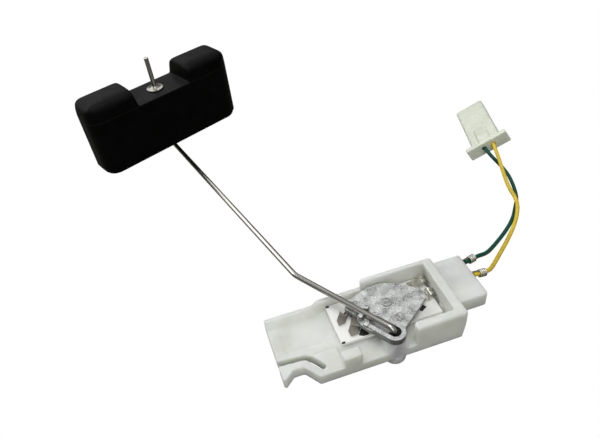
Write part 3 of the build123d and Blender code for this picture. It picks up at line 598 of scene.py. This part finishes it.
class NodeTool:
    """A Geometry Nodes tree with named inputs, run once on an object."""

    def __init__(self, name: str, sizes: dict[str, float | int | bpy.types.Material]) -> None:
        """Makes the tree's inputs.

        Args:
            name: the tree's name.
            sizes: its named inputs and their values.
        """
        self.tree = bpy.data.node_groups.new(name, "GeometryNodeTree")
        self.sizes = sizes
        face = self.tree.interface
        face.new_socket(name="Geometry", in_out="INPUT", socket_type="NodeSocketGeometry")
        face.new_socket(name="Geometry", in_out="OUTPUT", socket_type="NodeSocketGeometry")
        self.sockets = {label: face.new_socket(name=label, in_out="INPUT", socket_type=self.kind(value))
                        for label, value in sizes.items()}
        self.graph = Graph(self.tree)
        self.start = self.graph.node("NodeGroupInput")
        self.end = self.graph.node("NodeGroupOutput")

    @staticmethod
    def kind(value: object) -> str:
        """Returns the socket type that fits a value."""
        if isinstance(value, bpy.types.Material):
            return "NodeSocketMaterial"
        return "NodeSocketInt" if isinstance(value, int) else "NodeSocketFloat"

    def size(self, label: str) -> bpy.types.NodeSocket:
        """Returns the socket of a named input."""
        return self.start.outputs[label]

    def finish(self, geometry: bpy.types.NodeSocket, material: str) -> None:
        """Ends the tree: the instances are made real and take the material of a named input."""
        real = self.graph.node("GeometryNodeRealizeInstances", {"Geometry": geometry})
        dressed = self.graph.node("GeometryNodeSetMaterial", {"Geometry": real.outputs["Geometry"],
                                                              "Material": self.size(material)})
        self.graph.link(dressed.outputs["Geometry"], self.end.inputs["Geometry"])

    def run(self, carrier: bpy.types.ID, name: str) -> bpy.types.Mesh:
        """Runs the tree on a mesh or curve.

        Args:
            carrier: the mesh or curve that the tree starts from.
            name: the name of the result.

        Returns:
            The result as a plain mesh.
        """
        holder = bpy.data.objects.new(name, carrier)
        bpy.context.scene.collection.objects.link(holder)
        modifier = holder.modifiers.new(name, "NODES")
        modifier.node_group = self.tree
        for label, value in self.sizes.items():
            modifier[self.sockets[label].identifier] = value
        return settled(holder, name)


@dataclass
class WireArm:
    """The bent stainless wire that carries the float, swept along its filleted corners."""

    maker: Maker
    diameter: float = 2.1 * MM
    foot: float = -2.2 * MM
    height: float = 11.4 * MM
    first_run: float = 42.9 * MM
    second_run: float = 121.4 * MM
    turn: float = -17.9
    droop: float = 1.4 * MM
    upright: float = 45.4 * MM
    hook_bend: float = 2.5 * MM
    knee_bend: float = 9.0 * MM
    upright_bend: float = 2.4 * MM
    direction: float = 123.2
    bend_steps: int = 20
    sides: int = 40
    end_chamfer: float = 0.3 * MM
    chamfer_angle: float = 60.0
    crease: float = 30.0

    ATTRIBUTE = "along_wire"

    def corners(self) -> list[tuple[Vector, float]]:
        """Returns the wire's corners in the row frame, each with its bend radius."""
        flat = math.sqrt(self.second_run ** 2 - self.droop ** 2)
        knee = Vector((self.first_run, 0, self.height))
        far = knee + Vector((flat * math.cos(math.radians(self.turn)), flat * math.sin(math.radians(self.turn)),
                             -self.droop))
        top = far + Vector((0, 0, self.upright))
        start = Vector((0, 0, self.foot))
        hook = Vector((0, 0, self.height))
        to_row = Matrix.Rotation(math.radians(self.direction), 4, "Z")
        route = ((start, 0.0), (hook, self.hook_bend), (knee, self.knee_bend), (far, self.upright_bend), (top, 0.0))
        return [(to_row @ corner, bend) for corner, bend in route]

    def route(self) -> bpy.types.Curve:
        """Returns the corners as a curve whose point radii are the bend radii."""
        curve = bpy.data.curves.new("wire_route", "CURVE")
        curve.dimensions = "3D"
        spline = curve.splines.new("POLY")
        corners = self.corners()
        spline.points.add(len(corners) - 1)
        for point, (corner, bend) in zip(spline.points, corners):
            point.co = (*corner, 1.0)
            point.radius = bend
        return curve

    def tool(self) -> NodeTool:
        """Returns the tree that bends the corners and sweeps the wire's section along them."""
        tool = NodeTool("wire_sweep", {
            "Wire Radius": self.diameter / 2, "Bend Steps": self.bend_steps, "Sides": self.sides,
            "Finish": self.maker.finishes.of("stainless_wire")})
        graph = tool.graph
        bends = graph.node("GeometryNodeInputRadius").outputs["Radius"]
        bent = graph.node("GeometryNodeFilletCurve", {
            "Curve": tool.start.outputs["Geometry"], "Count": tool.size("Bend Steps"), "Radius": bends},
            mode="POLY")
        plain = graph.node("GeometryNodeSetCurveRadius", {"Curve": bent.outputs["Curve"], "Radius": 1.0})
        along = graph.node("GeometryNodeCaptureAttribute", {"Geometry": plain.outputs["Curve"]}, domain="POINT")
        along.capture_items.new("FLOAT", "Along")
        graph.link(graph.node("GeometryNodeSplineParameter").outputs["Length"], along.inputs["Along"])
        circle = graph.node("GeometryNodeCurvePrimitiveCircle", {
            "Resolution": tool.size("Sides"), "Radius": tool.size("Wire Radius")})
        around = graph.node("GeometryNodeCaptureAttribute", {"Geometry": circle.outputs["Curve"]}, domain="POINT")
        around.capture_items.new("VECTOR", "Around")
        graph.link(graph.node("GeometryNodeInputPosition").outputs["Position"], around.inputs["Around"])
        tube = graph.node("GeometryNodeCurveToMesh", {
            "Curve": along.outputs["Geometry"], "Profile Curve": around.outputs["Geometry"], "Fill Caps": True})
        section = graph.node("ShaderNodeSeparateXYZ", {"Vector": around.outputs["Around"]})
        where = graph.node("ShaderNodeCombineXYZ", {
            "X": along.outputs["Along"], "Y": section.outputs["X"], "Z": section.outputs["Y"]})
        stored = graph.node("GeometryNodeStoreNamedAttribute", {
            "Geometry": tube.outputs["Mesh"], "Name": self.ATTRIBUTE, "Value": where.outputs["Vector"]},
            data_type="FLOAT_VECTOR", domain="POINT")
        tool.finish(stored.outputs["Geometry"], "Finish")
        return tool

    def build(self) -> None:
        """Makes the wire and chamfers its two cut ends."""
        mesh = self.tool().run(self.route(), "float_arm_wire")
        holder = bpy.data.objects.new("wire_ends", mesh)
        bpy.context.scene.collection.objects.link(holder)
        chamfer = holder.modifiers.new("chamfer", "BEVEL")
        chamfer.width = self.end_chamfer
        chamfer.segments = 2
        chamfer.limit_method = "ANGLE"
        chamfer.angle_limit = math.radians(self.chamfer_angle)
        mesh = settled(holder, "float_arm_wire")
        mesh.shade_smooth()
        mesh.set_sharp_from_angle(angle=math.radians(self.crease))
        self.maker.piece("float_arm_wire", mesh, "stainless_wire", Body.ARM, ("float_arm",))


@dataclass
class FoamFloat:
    """The foam float: its moulded block is remeshed and smoothed, so that all its edges turn softly."""

    maker: Maker
    stem: Point = (-55.52 * MM, 152.99 * MM, 0.0)
    angle: float = 24.5
    voxel: float = 0.4 * MM
    smoothing: int = 7
    hump_smoothing: int = 110
    hump_from: float = 40.6 * MM
    hump_full: float = 43.6 * MM
    rim_top: float = 14.2 * MM
    rim_inset: float = 0.7 * MM
    mark_radius: float = 0.75 * MM
    mark_depth: float = 0.35 * MM
    bore: float = 1.35 * MM

    MARKS = ((25.4, -9.4, 44.6), (-31.6, -9.5, 35.5), (-26.0, -8.6, 45.0), (15.5, -5.5, 46.5))

    def sculpt(self, mesh: bpy.types.Mesh) -> None:
        """Sets the bottom rim inwards, sinks the moulding marks and clears the bore, in the float's own frame."""
        marks = [Vector(mark) * MM for mark in self.MARKS]
        normals = [vertex.normal.copy() for vertex in mesh.vertices]
        for vertex, outward in zip(mesh.vertices, normals):
            if vertex.co.z < self.rim_top:
                vertex.co -= Vector((outward.x, outward.y, 0.0)) * self.rim_inset
            for mark in marks:
                near = 1.0 - (vertex.co - mark).length / (2 * self.mark_radius)
                if near > 0.0:
                    vertex.co -= outward * self.mark_depth * min(1.0, 2 * near)
            reach = math.hypot(vertex.co.x, vertex.co.y)
            if 0.0 < reach < self.bore:
                vertex.co += Vector((vertex.co.x, vertex.co.y, 0.0)) * (self.bore / reach - 1.0)

    def soften(self, mesh: bpy.types.Mesh) -> bpy.types.Mesh:
        """Rounds the humps' corners into each other.

        Args:
            mesh: the float in its own frame.

        Returns:
            The rounded mesh.
        """
        holder = bpy.data.objects.new("float_humps", mesh)
        bpy.context.scene.collection.objects.link(holder)
        group = holder.vertex_groups.new(name="humps")
        for vertex in mesh.vertices:
            share = (vertex.co.z - self.hump_from) / (self.hump_full - self.hump_from)
            if share > 0.0:
                group.add([vertex.index], min(1.0, share), "REPLACE")
        smooth = holder.modifiers.new("smooth", "SMOOTH")
        smooth.iterations = self.hump_smoothing
        smooth.vertex_group = group.name
        return settled(holder, "float_foam")

    def build(self) -> None:
        """Makes the float and its push nut."""
        place = Matrix.Translation(self.stem) @ Matrix.Rotation(math.radians(self.angle), 4, "Z")
        block = merged_copy(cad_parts["float_body"].data, "float_block")
        block.transform(place.inverted())
        mesh = rounded(block, "float_foam", self.voxel, self.smoothing)
        self.sculpt(mesh)
        mesh = self.soften(mesh)
        mesh.transform(place)
        mesh.shade_smooth()
        self.maker.piece("float_foam", mesh, "float_foam", Body.FLOAT, ("float_body",))
        self.maker.smooth_copy("push_nut", "float_push_nut", "spring_steel", Body.ARM)


@dataclass
class Rotor:
    """The cast holder with its spring sheet and contact buttons."""

    maker: Maker

    def build(self) -> None:
        """Dresses the holder, the sheet under it and the buttons."""
        self.maker.smooth_copy("arm_holder", "cast_holder", "zinc_casting", Body.ARM)
        self.maker.smooth_copy("contact_plate", "spring_sheet", "nickel_silver", Body.ARM)
        for side in ("outer", "inner"):
            self.maker.smooth_copy(f"contact_button_{side}", f"button_{side}", "contact_metal", Body.ARM)


@dataclass
class Crimp:
    """The crimped end of a terminal: a sleeve with folds round it and a bent tongue back to the strap."""

    maker: Maker
    folds: int = 4
    pitch: float = 0.74 * MM
    start: float = 2.9 * MM
    radius: float = 1.22 * MM
    thickness: float = 0.3 * MM
    seed: int = 4
    tongue: tuple[float, float] = (-5.0, 92.0)
    tongue_taper: float = 0.35
    sheet: float = 0.3 * MM
    overlap: float = 0.4 * MM
    cut: float = 0.3 * MM
    steps: int = 24
    crease: float = 40.0
    uneven: Point = (0.04, 0.05, 0.06)

    PLACES = {
        "signal": ((37.3, 20.8, 7.35), 16.0, 5.6),
        "ground": ((37.3, 14.4, 7.3), 3.0, 9.3),
    }

    def place(self, name: str) -> Matrix:
        """Returns where a terminal's crimp begins, with +X along its lead."""
        root, yaw, drop = self.PLACES[name]
        turn = Matrix.Rotation(math.radians(yaw), 4, "Z") @ Matrix.Rotation(math.radians(drop), 4, "Y")
        return Matrix.Translation(Vector(root) * MM) @ turn

    def tool(self) -> NodeTool:
        """Returns the tree that sets a slightly uneven fold at each step along the crimp."""
        tool = NodeTool("crimp_folds", {
            "Folds": self.folds, "Pitch": self.pitch, "Start": self.start, "Radius": self.radius,
            "Thickness": self.thickness, "Seed": self.seed, "Finish": self.maker.finishes.of("tinned_strip")})
        graph = tool.graph
        first = graph.node("ShaderNodeCombineXYZ", {"X": tool.size("Start")})
        step = graph.node("ShaderNodeCombineXYZ", {"X": tool.size("Pitch")})
        points = graph.node("GeometryNodeMeshLine", {
            "Count": tool.size("Folds"), "Start Location": first.outputs["Vector"], "Offset": step.outputs["Vector"]},
            mode="OFFSET")
        ring = graph.node("GeometryNodeCurvePrimitiveCircle", {"Resolution": 40, "Radius": tool.size("Radius")})
        section = graph.node("GeometryNodeCurvePrimitiveCircle", {"Resolution": 12, "Radius": tool.size("Thickness")})
        fold = graph.node("GeometryNodeCurveToMesh", {
            "Curve": ring.outputs["Curve"], "Profile Curve": section.outputs["Curve"]})
        quarter = math.radians(90)
        x, y, z = self.uneven
        tilt = graph.node("FunctionNodeRandomValue", {
            0: (-x, quarter - y, -z), 1: (x, quarter + y, z), "Seed": tool.size("Seed")},
            data_type="FLOAT_VECTOR")
        made = graph.node("GeometryNodeInstanceOnPoints", {
            "Points": points.outputs["Mesh"], "Instance": fold.outputs["Mesh"], "Rotation": tilt.outputs[0]})
        tool.finish(made.outputs["Instances"], "Finish")
        return tool

    def shell(self, first: float, last: float, spread: tuple[float, float], taper: float) -> bpy.types.Mesh:
        """Makes a curved sheet round the lead.

        Args:
            first: where it begins along the lead.
            last: where it ends.
            spread: the angles between which it reaches round the lead at its end, from +Y through +Z.
            taper: the share of that reach that it has at its beginning.

        Returns:
            The sheet as a closed mesh.
        """
        steps = self.steps
        middle = sum(spread) / 2
        half = (spread[1] - spread[0]) / 2
        inner = self.radius - self.sheet
        corners = []
        for along, share in ((first, taper), (last, 1.0)):
            for radius in (inner, self.radius + self.sheet / 3):
                for i in range(steps + 1):
                    angle = math.radians(middle + half * share * (2 * i / steps - 1))
                    corners.append((along, radius * math.cos(angle), radius * math.sin(angle)))
        row = steps + 1
        faces = []
        for i in range(steps):
            low, high = i, i + 1
            faces += [(low, high, 2 * row + high, 2 * row + low),
                      (row + low, 3 * row + low, 3 * row + high, row + high),
                      (low, row + low, row + high, high),
                      (2 * row + low, 2 * row + high, 3 * row + high, 3 * row + low)]
        for i in (0, steps):
            faces.append((i, 2 * row + i, 3 * row + i, row + i))
        mesh = bpy.data.meshes.new("crimp_sheet")
        mesh.from_pydata(corners, [], faces)
        return mesh

    def clear(self, mesh: bpy.types.Mesh, place: Matrix) -> None:
        """Takes the plain crimp off a terminal's mesh."""
        back = place.inverted()
        work = bmesh.new()
        work.from_mesh(mesh)
        gone = [vertex for vertex in work.verts if (back @ vertex.co).x > self.cut]
        bmesh.ops.delete(work, geom=gone, context="VERTS")
        work.to_mesh(mesh)
        work.free()

    def build(self) -> None:
        """Makes both crimps."""
        tool = self.tool()
        end = self.start + (self.folds - 1) * self.pitch
        for name in self.PLACES:
            place = self.place(name)
            parts = {
                "folds": tool.run(bpy.data.meshes.new("crimp_start"), "crimp_folds"),
                "sleeve": self.shell(self.start, end, (-180.0, 180.0), 1.0),
                "tongue": self.shell(-self.overlap, self.start, self.tongue, self.tongue_taper),
            }
            for part, mesh in parts.items():
                mesh.transform(place)
                mesh.shade_smooth()
                mesh.set_sharp_from_angle(angle=math.radians(self.crease))
                self.maker.piece(f"{name}_crimp_{part}", mesh, "tinned_strip", Body.BASE)


@dataclass
class Tray:
    """The housing with the resistor card, its film, the terminals and their solder."""

    maker: Maker
    voxel: float = 0.3 * MM
    smoothing: int = 3

    def build(self) -> None:
        """Dresses everything that stays with the housing."""
        crimp = Crimp(self.maker)
        self.maker.moulded_copy("housing", "tray_housing", "housing_plastic", Body.BASE, self.voxel, self.smoothing)
        self.maker.smooth_copy("resistor_card", "ceramic_card", "ceramic", Body.BASE)
        self.maker.smooth_copy("resistor_track", "printed_film", "resistor_film", Body.BASE)
        for name in ("signal", "ground"):
            strip = self.maker.smooth_copy(f"{name}_terminal", f"{name}_strip", "tinned_strip", Body.BASE)
            crimp.clear(strip.data, crimp.place(name))
            self.maker.smooth_copy(f"{name}_solder", f"{name}_solder_joint", "solder", Body.BASE)
        crimp.build()


@dataclass
class Harness:
    """The two leads and the plug at their far end."""

    maker: Maker
    diameter: float = 1.63 * MM
    roundness: int = 6
    curve_steps: int = 16
    plug_mouth: Point = (99.3 * MM, 120.5 * MM, 4.3 * MM)
    plug_yaw: float = -17.6
    plug_stretch: tuple[float, float] = (1.08, 1.26)
    plug_voxel: float = 0.2 * MM
    plug_smoothing: int = 14

    ROUTES = {
        Lead.GREEN: (
            (37.63, 20.9, 7.3), (43.61, 22.61, 6.7), (49.5, 24.6, 4.0), (55.8, 29.2, 1.0), (65.7, 36.1, -1.2),
            (74.3, 42.9, -2.15), (79.8, 49.4, -2.15), (83.7, 54.0, -2.15), (87.7, 63.1, -2.15),
            (90.2, 72.4, -1.9), (85.4, 81.3, 4.1), (87.39, 89.08, 3.76), (89.65, 96.21, 3.24),
        ),
        Lead.YELLOW: (
            (37.64, 14.42, 7.25), (43.8, 14.74, 6.23), (48.8, 18.9, 2.4), (57.3, 26.3, -0.4), (65.9, 33.4, -2.15),
            (73.9, 40.4, -0.9), (77.5, 45.2, 2.2), (79.9, 51.3, 2.2), (82.2, 58.1, 0.4), (85.3, 66.0, -0.3),
            (87.5, 77.0, 5.4), (90.99, 88.11, 6.09), (93.26, 95.24, 5.57),
        ),
    }
    LENGTHS = {Lead.GREEN: 103.3 * MM, Lead.YELLOW: 106.9 * MM}

    def plug_place(self) -> Matrix:
        """Returns the change that draws the plug out from its mouth towards the leads, flat along the floor."""
        mouth = Matrix.Translation(self.plug_mouth) @ Matrix.Rotation(math.radians(self.plug_yaw), 4, "Z")
        across, along = self.plug_stretch
        return mouth @ Matrix.Diagonal((across, along, 1.0, 1.0)) @ mouth.inverted()

    def lead(self, which: Lead) -> None:
        """Args:
            which: the lead.
        """
        name = f"lead_{which.value}_wire"
        route = [Vector(point) * MM for point in self.ROUTES[which]]
        curve = bpy.data.curves.new(name, "CURVE")
        curve.dimensions = "3D"
        curve.bevel_depth = self.diameter / 2
        curve.bevel_resolution = self.roundness
        curve.resolution_u = self.curve_steps
        curve.use_fill_caps = True
        spline = curve.splines.new("NURBS")
        spline.points.add(len(route) - 1)
        for point, corner in zip(spline.points, route):
            point.co = (*corner, 1.0)
        spline.order_u = 3
        spline.use_endpoint_u = True
        piece = self.maker.piece(name, curve, f"{which.value}_insulation", Body.BASE, (f"lead_{which.value}",))

    def build(self) -> None:
        """Makes the plug, its contacts and both leads."""
        plug = self.maker.moulded_copy("plug_housing", "two_way_plug", "plug_plastic", Body.BASE, self.plug_voxel,
                                       self.plug_smoothing, self.plug_place())
        pins = {which: self.maker.smooth_copy(f"plug_pin_{which.value}", f"plug_contact_{which.value}",
                                              "tinned_strip", Body.BASE) for which in Lead}
        self.lead(Lead.GREEN)
        self.lead(Lead.YELLOW)


@dataclass
class Studio:
    """The pale floor, the soft light and the camera of the photograph."""

    surface: float = -3.0 * MM
    floor_size: float = 3.0
    bounce: Colour = (0.26, 0.255, 0.23)
    ambient: float = 0.30
    eye: Point = (-47.989 * MM, -98.091 * MM, 157.893 * MM)
    target: Point = (-9.664 * MM, 77.442 * MM, 0.0)
    roll: float = 7.746
    lens: float = 32.395
    sensor: float = 36.0
    clip: tuple[float, float] = (0.01, 20.0)
    lamp_aim: Point = (0.0, 0.06, 0.0)

    SKY = ((0.0, 0.07), (0.35, 0.2), (0.8, 0.55))
    LAMPS = {
        "side": ((-0.45, 0.36, 0.34), 0.4, 1.1),
        "top": ((0.02, -0.02, 0.75), 0.4, 2.1),
        "back": ((-0.16, 0.74, 0.55), 0.5, 1.3),
        "front": ((-0.10, -0.50, 0.40), 0.4, 0.7),
    }

    def floor(self) -> None:
        """Makes the white floor: pure white to the camera, as in the photograph, and matt to all else."""
        half = self.floor_size / 2
        mesh = bpy.data.meshes.new("floor")
        corners = [(x * half, y * half, self.surface) for x, y in ((-1, -1), (1, -1), (1, 1), (-1, 1))]
        mesh.from_pydata(corners, [], [(0, 1, 2, 3)])
        floor = bpy.data.objects.new("floor", mesh)
        bpy.context.scene.collection.objects.link(floor)
        material = bpy.data.materials.new("floor_white")
        material.use_nodes = True
        material.node_tree.nodes.clear()
        graph = Graph(material.node_tree)
        seen = graph.node("ShaderNodeLightPath").outputs["Is Camera Ray"]
        matt = graph.node("ShaderNodeBsdfDiffuse", {"Color": (*self.bounce, 1.0)})
        glow = graph.node("ShaderNodeEmission", {"Color": (1.0, 1.0, 1.0, 1.0), "Strength": 1.0})
        both = graph.node("ShaderNodeMixShader", {0: seen, 1: matt.outputs["BSDF"], 2: glow.outputs["Emission"]})
        graph.node("ShaderNodeOutputMaterial", {"Surface": both.outputs["Shader"]})
        mesh.materials.append(material)

    def world(self) -> None:
        """Makes the world: plain pale light, a white backdrop, and in gloss a sky that darkens to the horizon."""
        world = bpy.data.worlds.new("studio")
        bpy.context.scene.world = world
        world.use_nodes = True
        world.node_tree.nodes.clear()
        graph = Graph(world.node_tree)
        path = graph.node("ShaderNodeLightPath").outputs
        up = graph.node("ShaderNodeSeparateXYZ", {
            "Vector": graph.node("ShaderNodeTexCoord").outputs["Generated"]}).outputs["Z"]
        sky = graph.ramp(up, [(place, (grey, grey, grey)) for place, grey in self.SKY])
        mirrored = graph.node("ShaderNodeBackground", {"Color": sky, "Strength": 1.0})
        backdrop = graph.node("ShaderNodeBackground", {"Color": (1.0, 1.0, 1.0, 1.0), "Strength": 1.0})
        ambient = graph.node("ShaderNodeBackground", {"Color": (0.98, 0.99, 1.0, 1.0), "Strength": self.ambient})
        glossy = graph.math("MAXIMUM", path["Is Glossy Ray"], path["Is Transmission Ray"])
        lit = graph.node("ShaderNodeMixShader", {
            0: glossy, 1: ambient.outputs["Background"], 2: mirrored.outputs["Background"]})
        both = graph.node("ShaderNodeMixShader", {
            0: path["Is Camera Ray"], 1: lit.outputs["Shader"], 2: backdrop.outputs["Background"]})
        graph.node("ShaderNodeOutputWorld", {"Surface": both.outputs["Shader"]})

    def lamp(self, name: str, place: Point, size: float, power: float) -> None:
        """Makes a square soft box that faces the sender.

        Args:
            name: the lamp's name.
            place: where it hangs.
            size: the length of its side.
            power: its power in watts.
        """
        light = bpy.data.lights.new(name, "AREA")
        light.size = size
        light.energy = power
        lamp = bpy.data.objects.new(name, light)
        bpy.context.scene.collection.objects.link(lamp)
        lamp.location = place
        lamp.rotation_mode = "QUATERNION"
        lamp.rotation_quaternion = (Vector(self.lamp_aim) - Vector(place)).to_track_quat("-Z", "Y")

    def camera(self) -> None:
        """Makes the camera that stands where the photograph was taken."""
        data = bpy.data.cameras.new("camera")
        data.sensor_fit = "HORIZONTAL"
        data.sensor_width = self.sensor
        data.lens = self.lens
        data.clip_start, data.clip_end = self.clip
        camera = bpy.data.objects.new("camera", data)
        bpy.context.scene.collection.objects.link(camera)
        camera.location = self.eye
        camera.rotation_mode = "QUATERNION"
        aim = (Vector(self.target) - Vector(self.eye)).to_track_quat("-Z", "Y")
        camera.rotation_quaternion = aim @ Quaternion((0.0, 0.0, 1.0), -math.radians(self.roll))
        bpy.context.scene.camera = camera

    def build(self) -> None:
        """Makes the floor, the world, the lamps and the camera."""
        self.floor()
        self.world()
        for name, (place, size, power) in self.LAMPS.items():
            self.lamp(name, place, size, power)
        self.camera()
        bpy.context.scene.view_settings.view_transform = "Standard"


def main() -> None:
    """Builds the sender's pieces in order, then the studio."""
    logging.basicConfig(level=logging.INFO, format="%(name)s: %(message)s")
    studio = Studio()
    studio.build()
    maker = Maker(Finishes())
    for part in (Harness(maker), Tray(maker), Rotor(maker), WireArm(maker), FoamFloat(maker)):
        part.build()
        log.info("built %s", type(part).__name__)


if __name__ == "__main__":
    main()
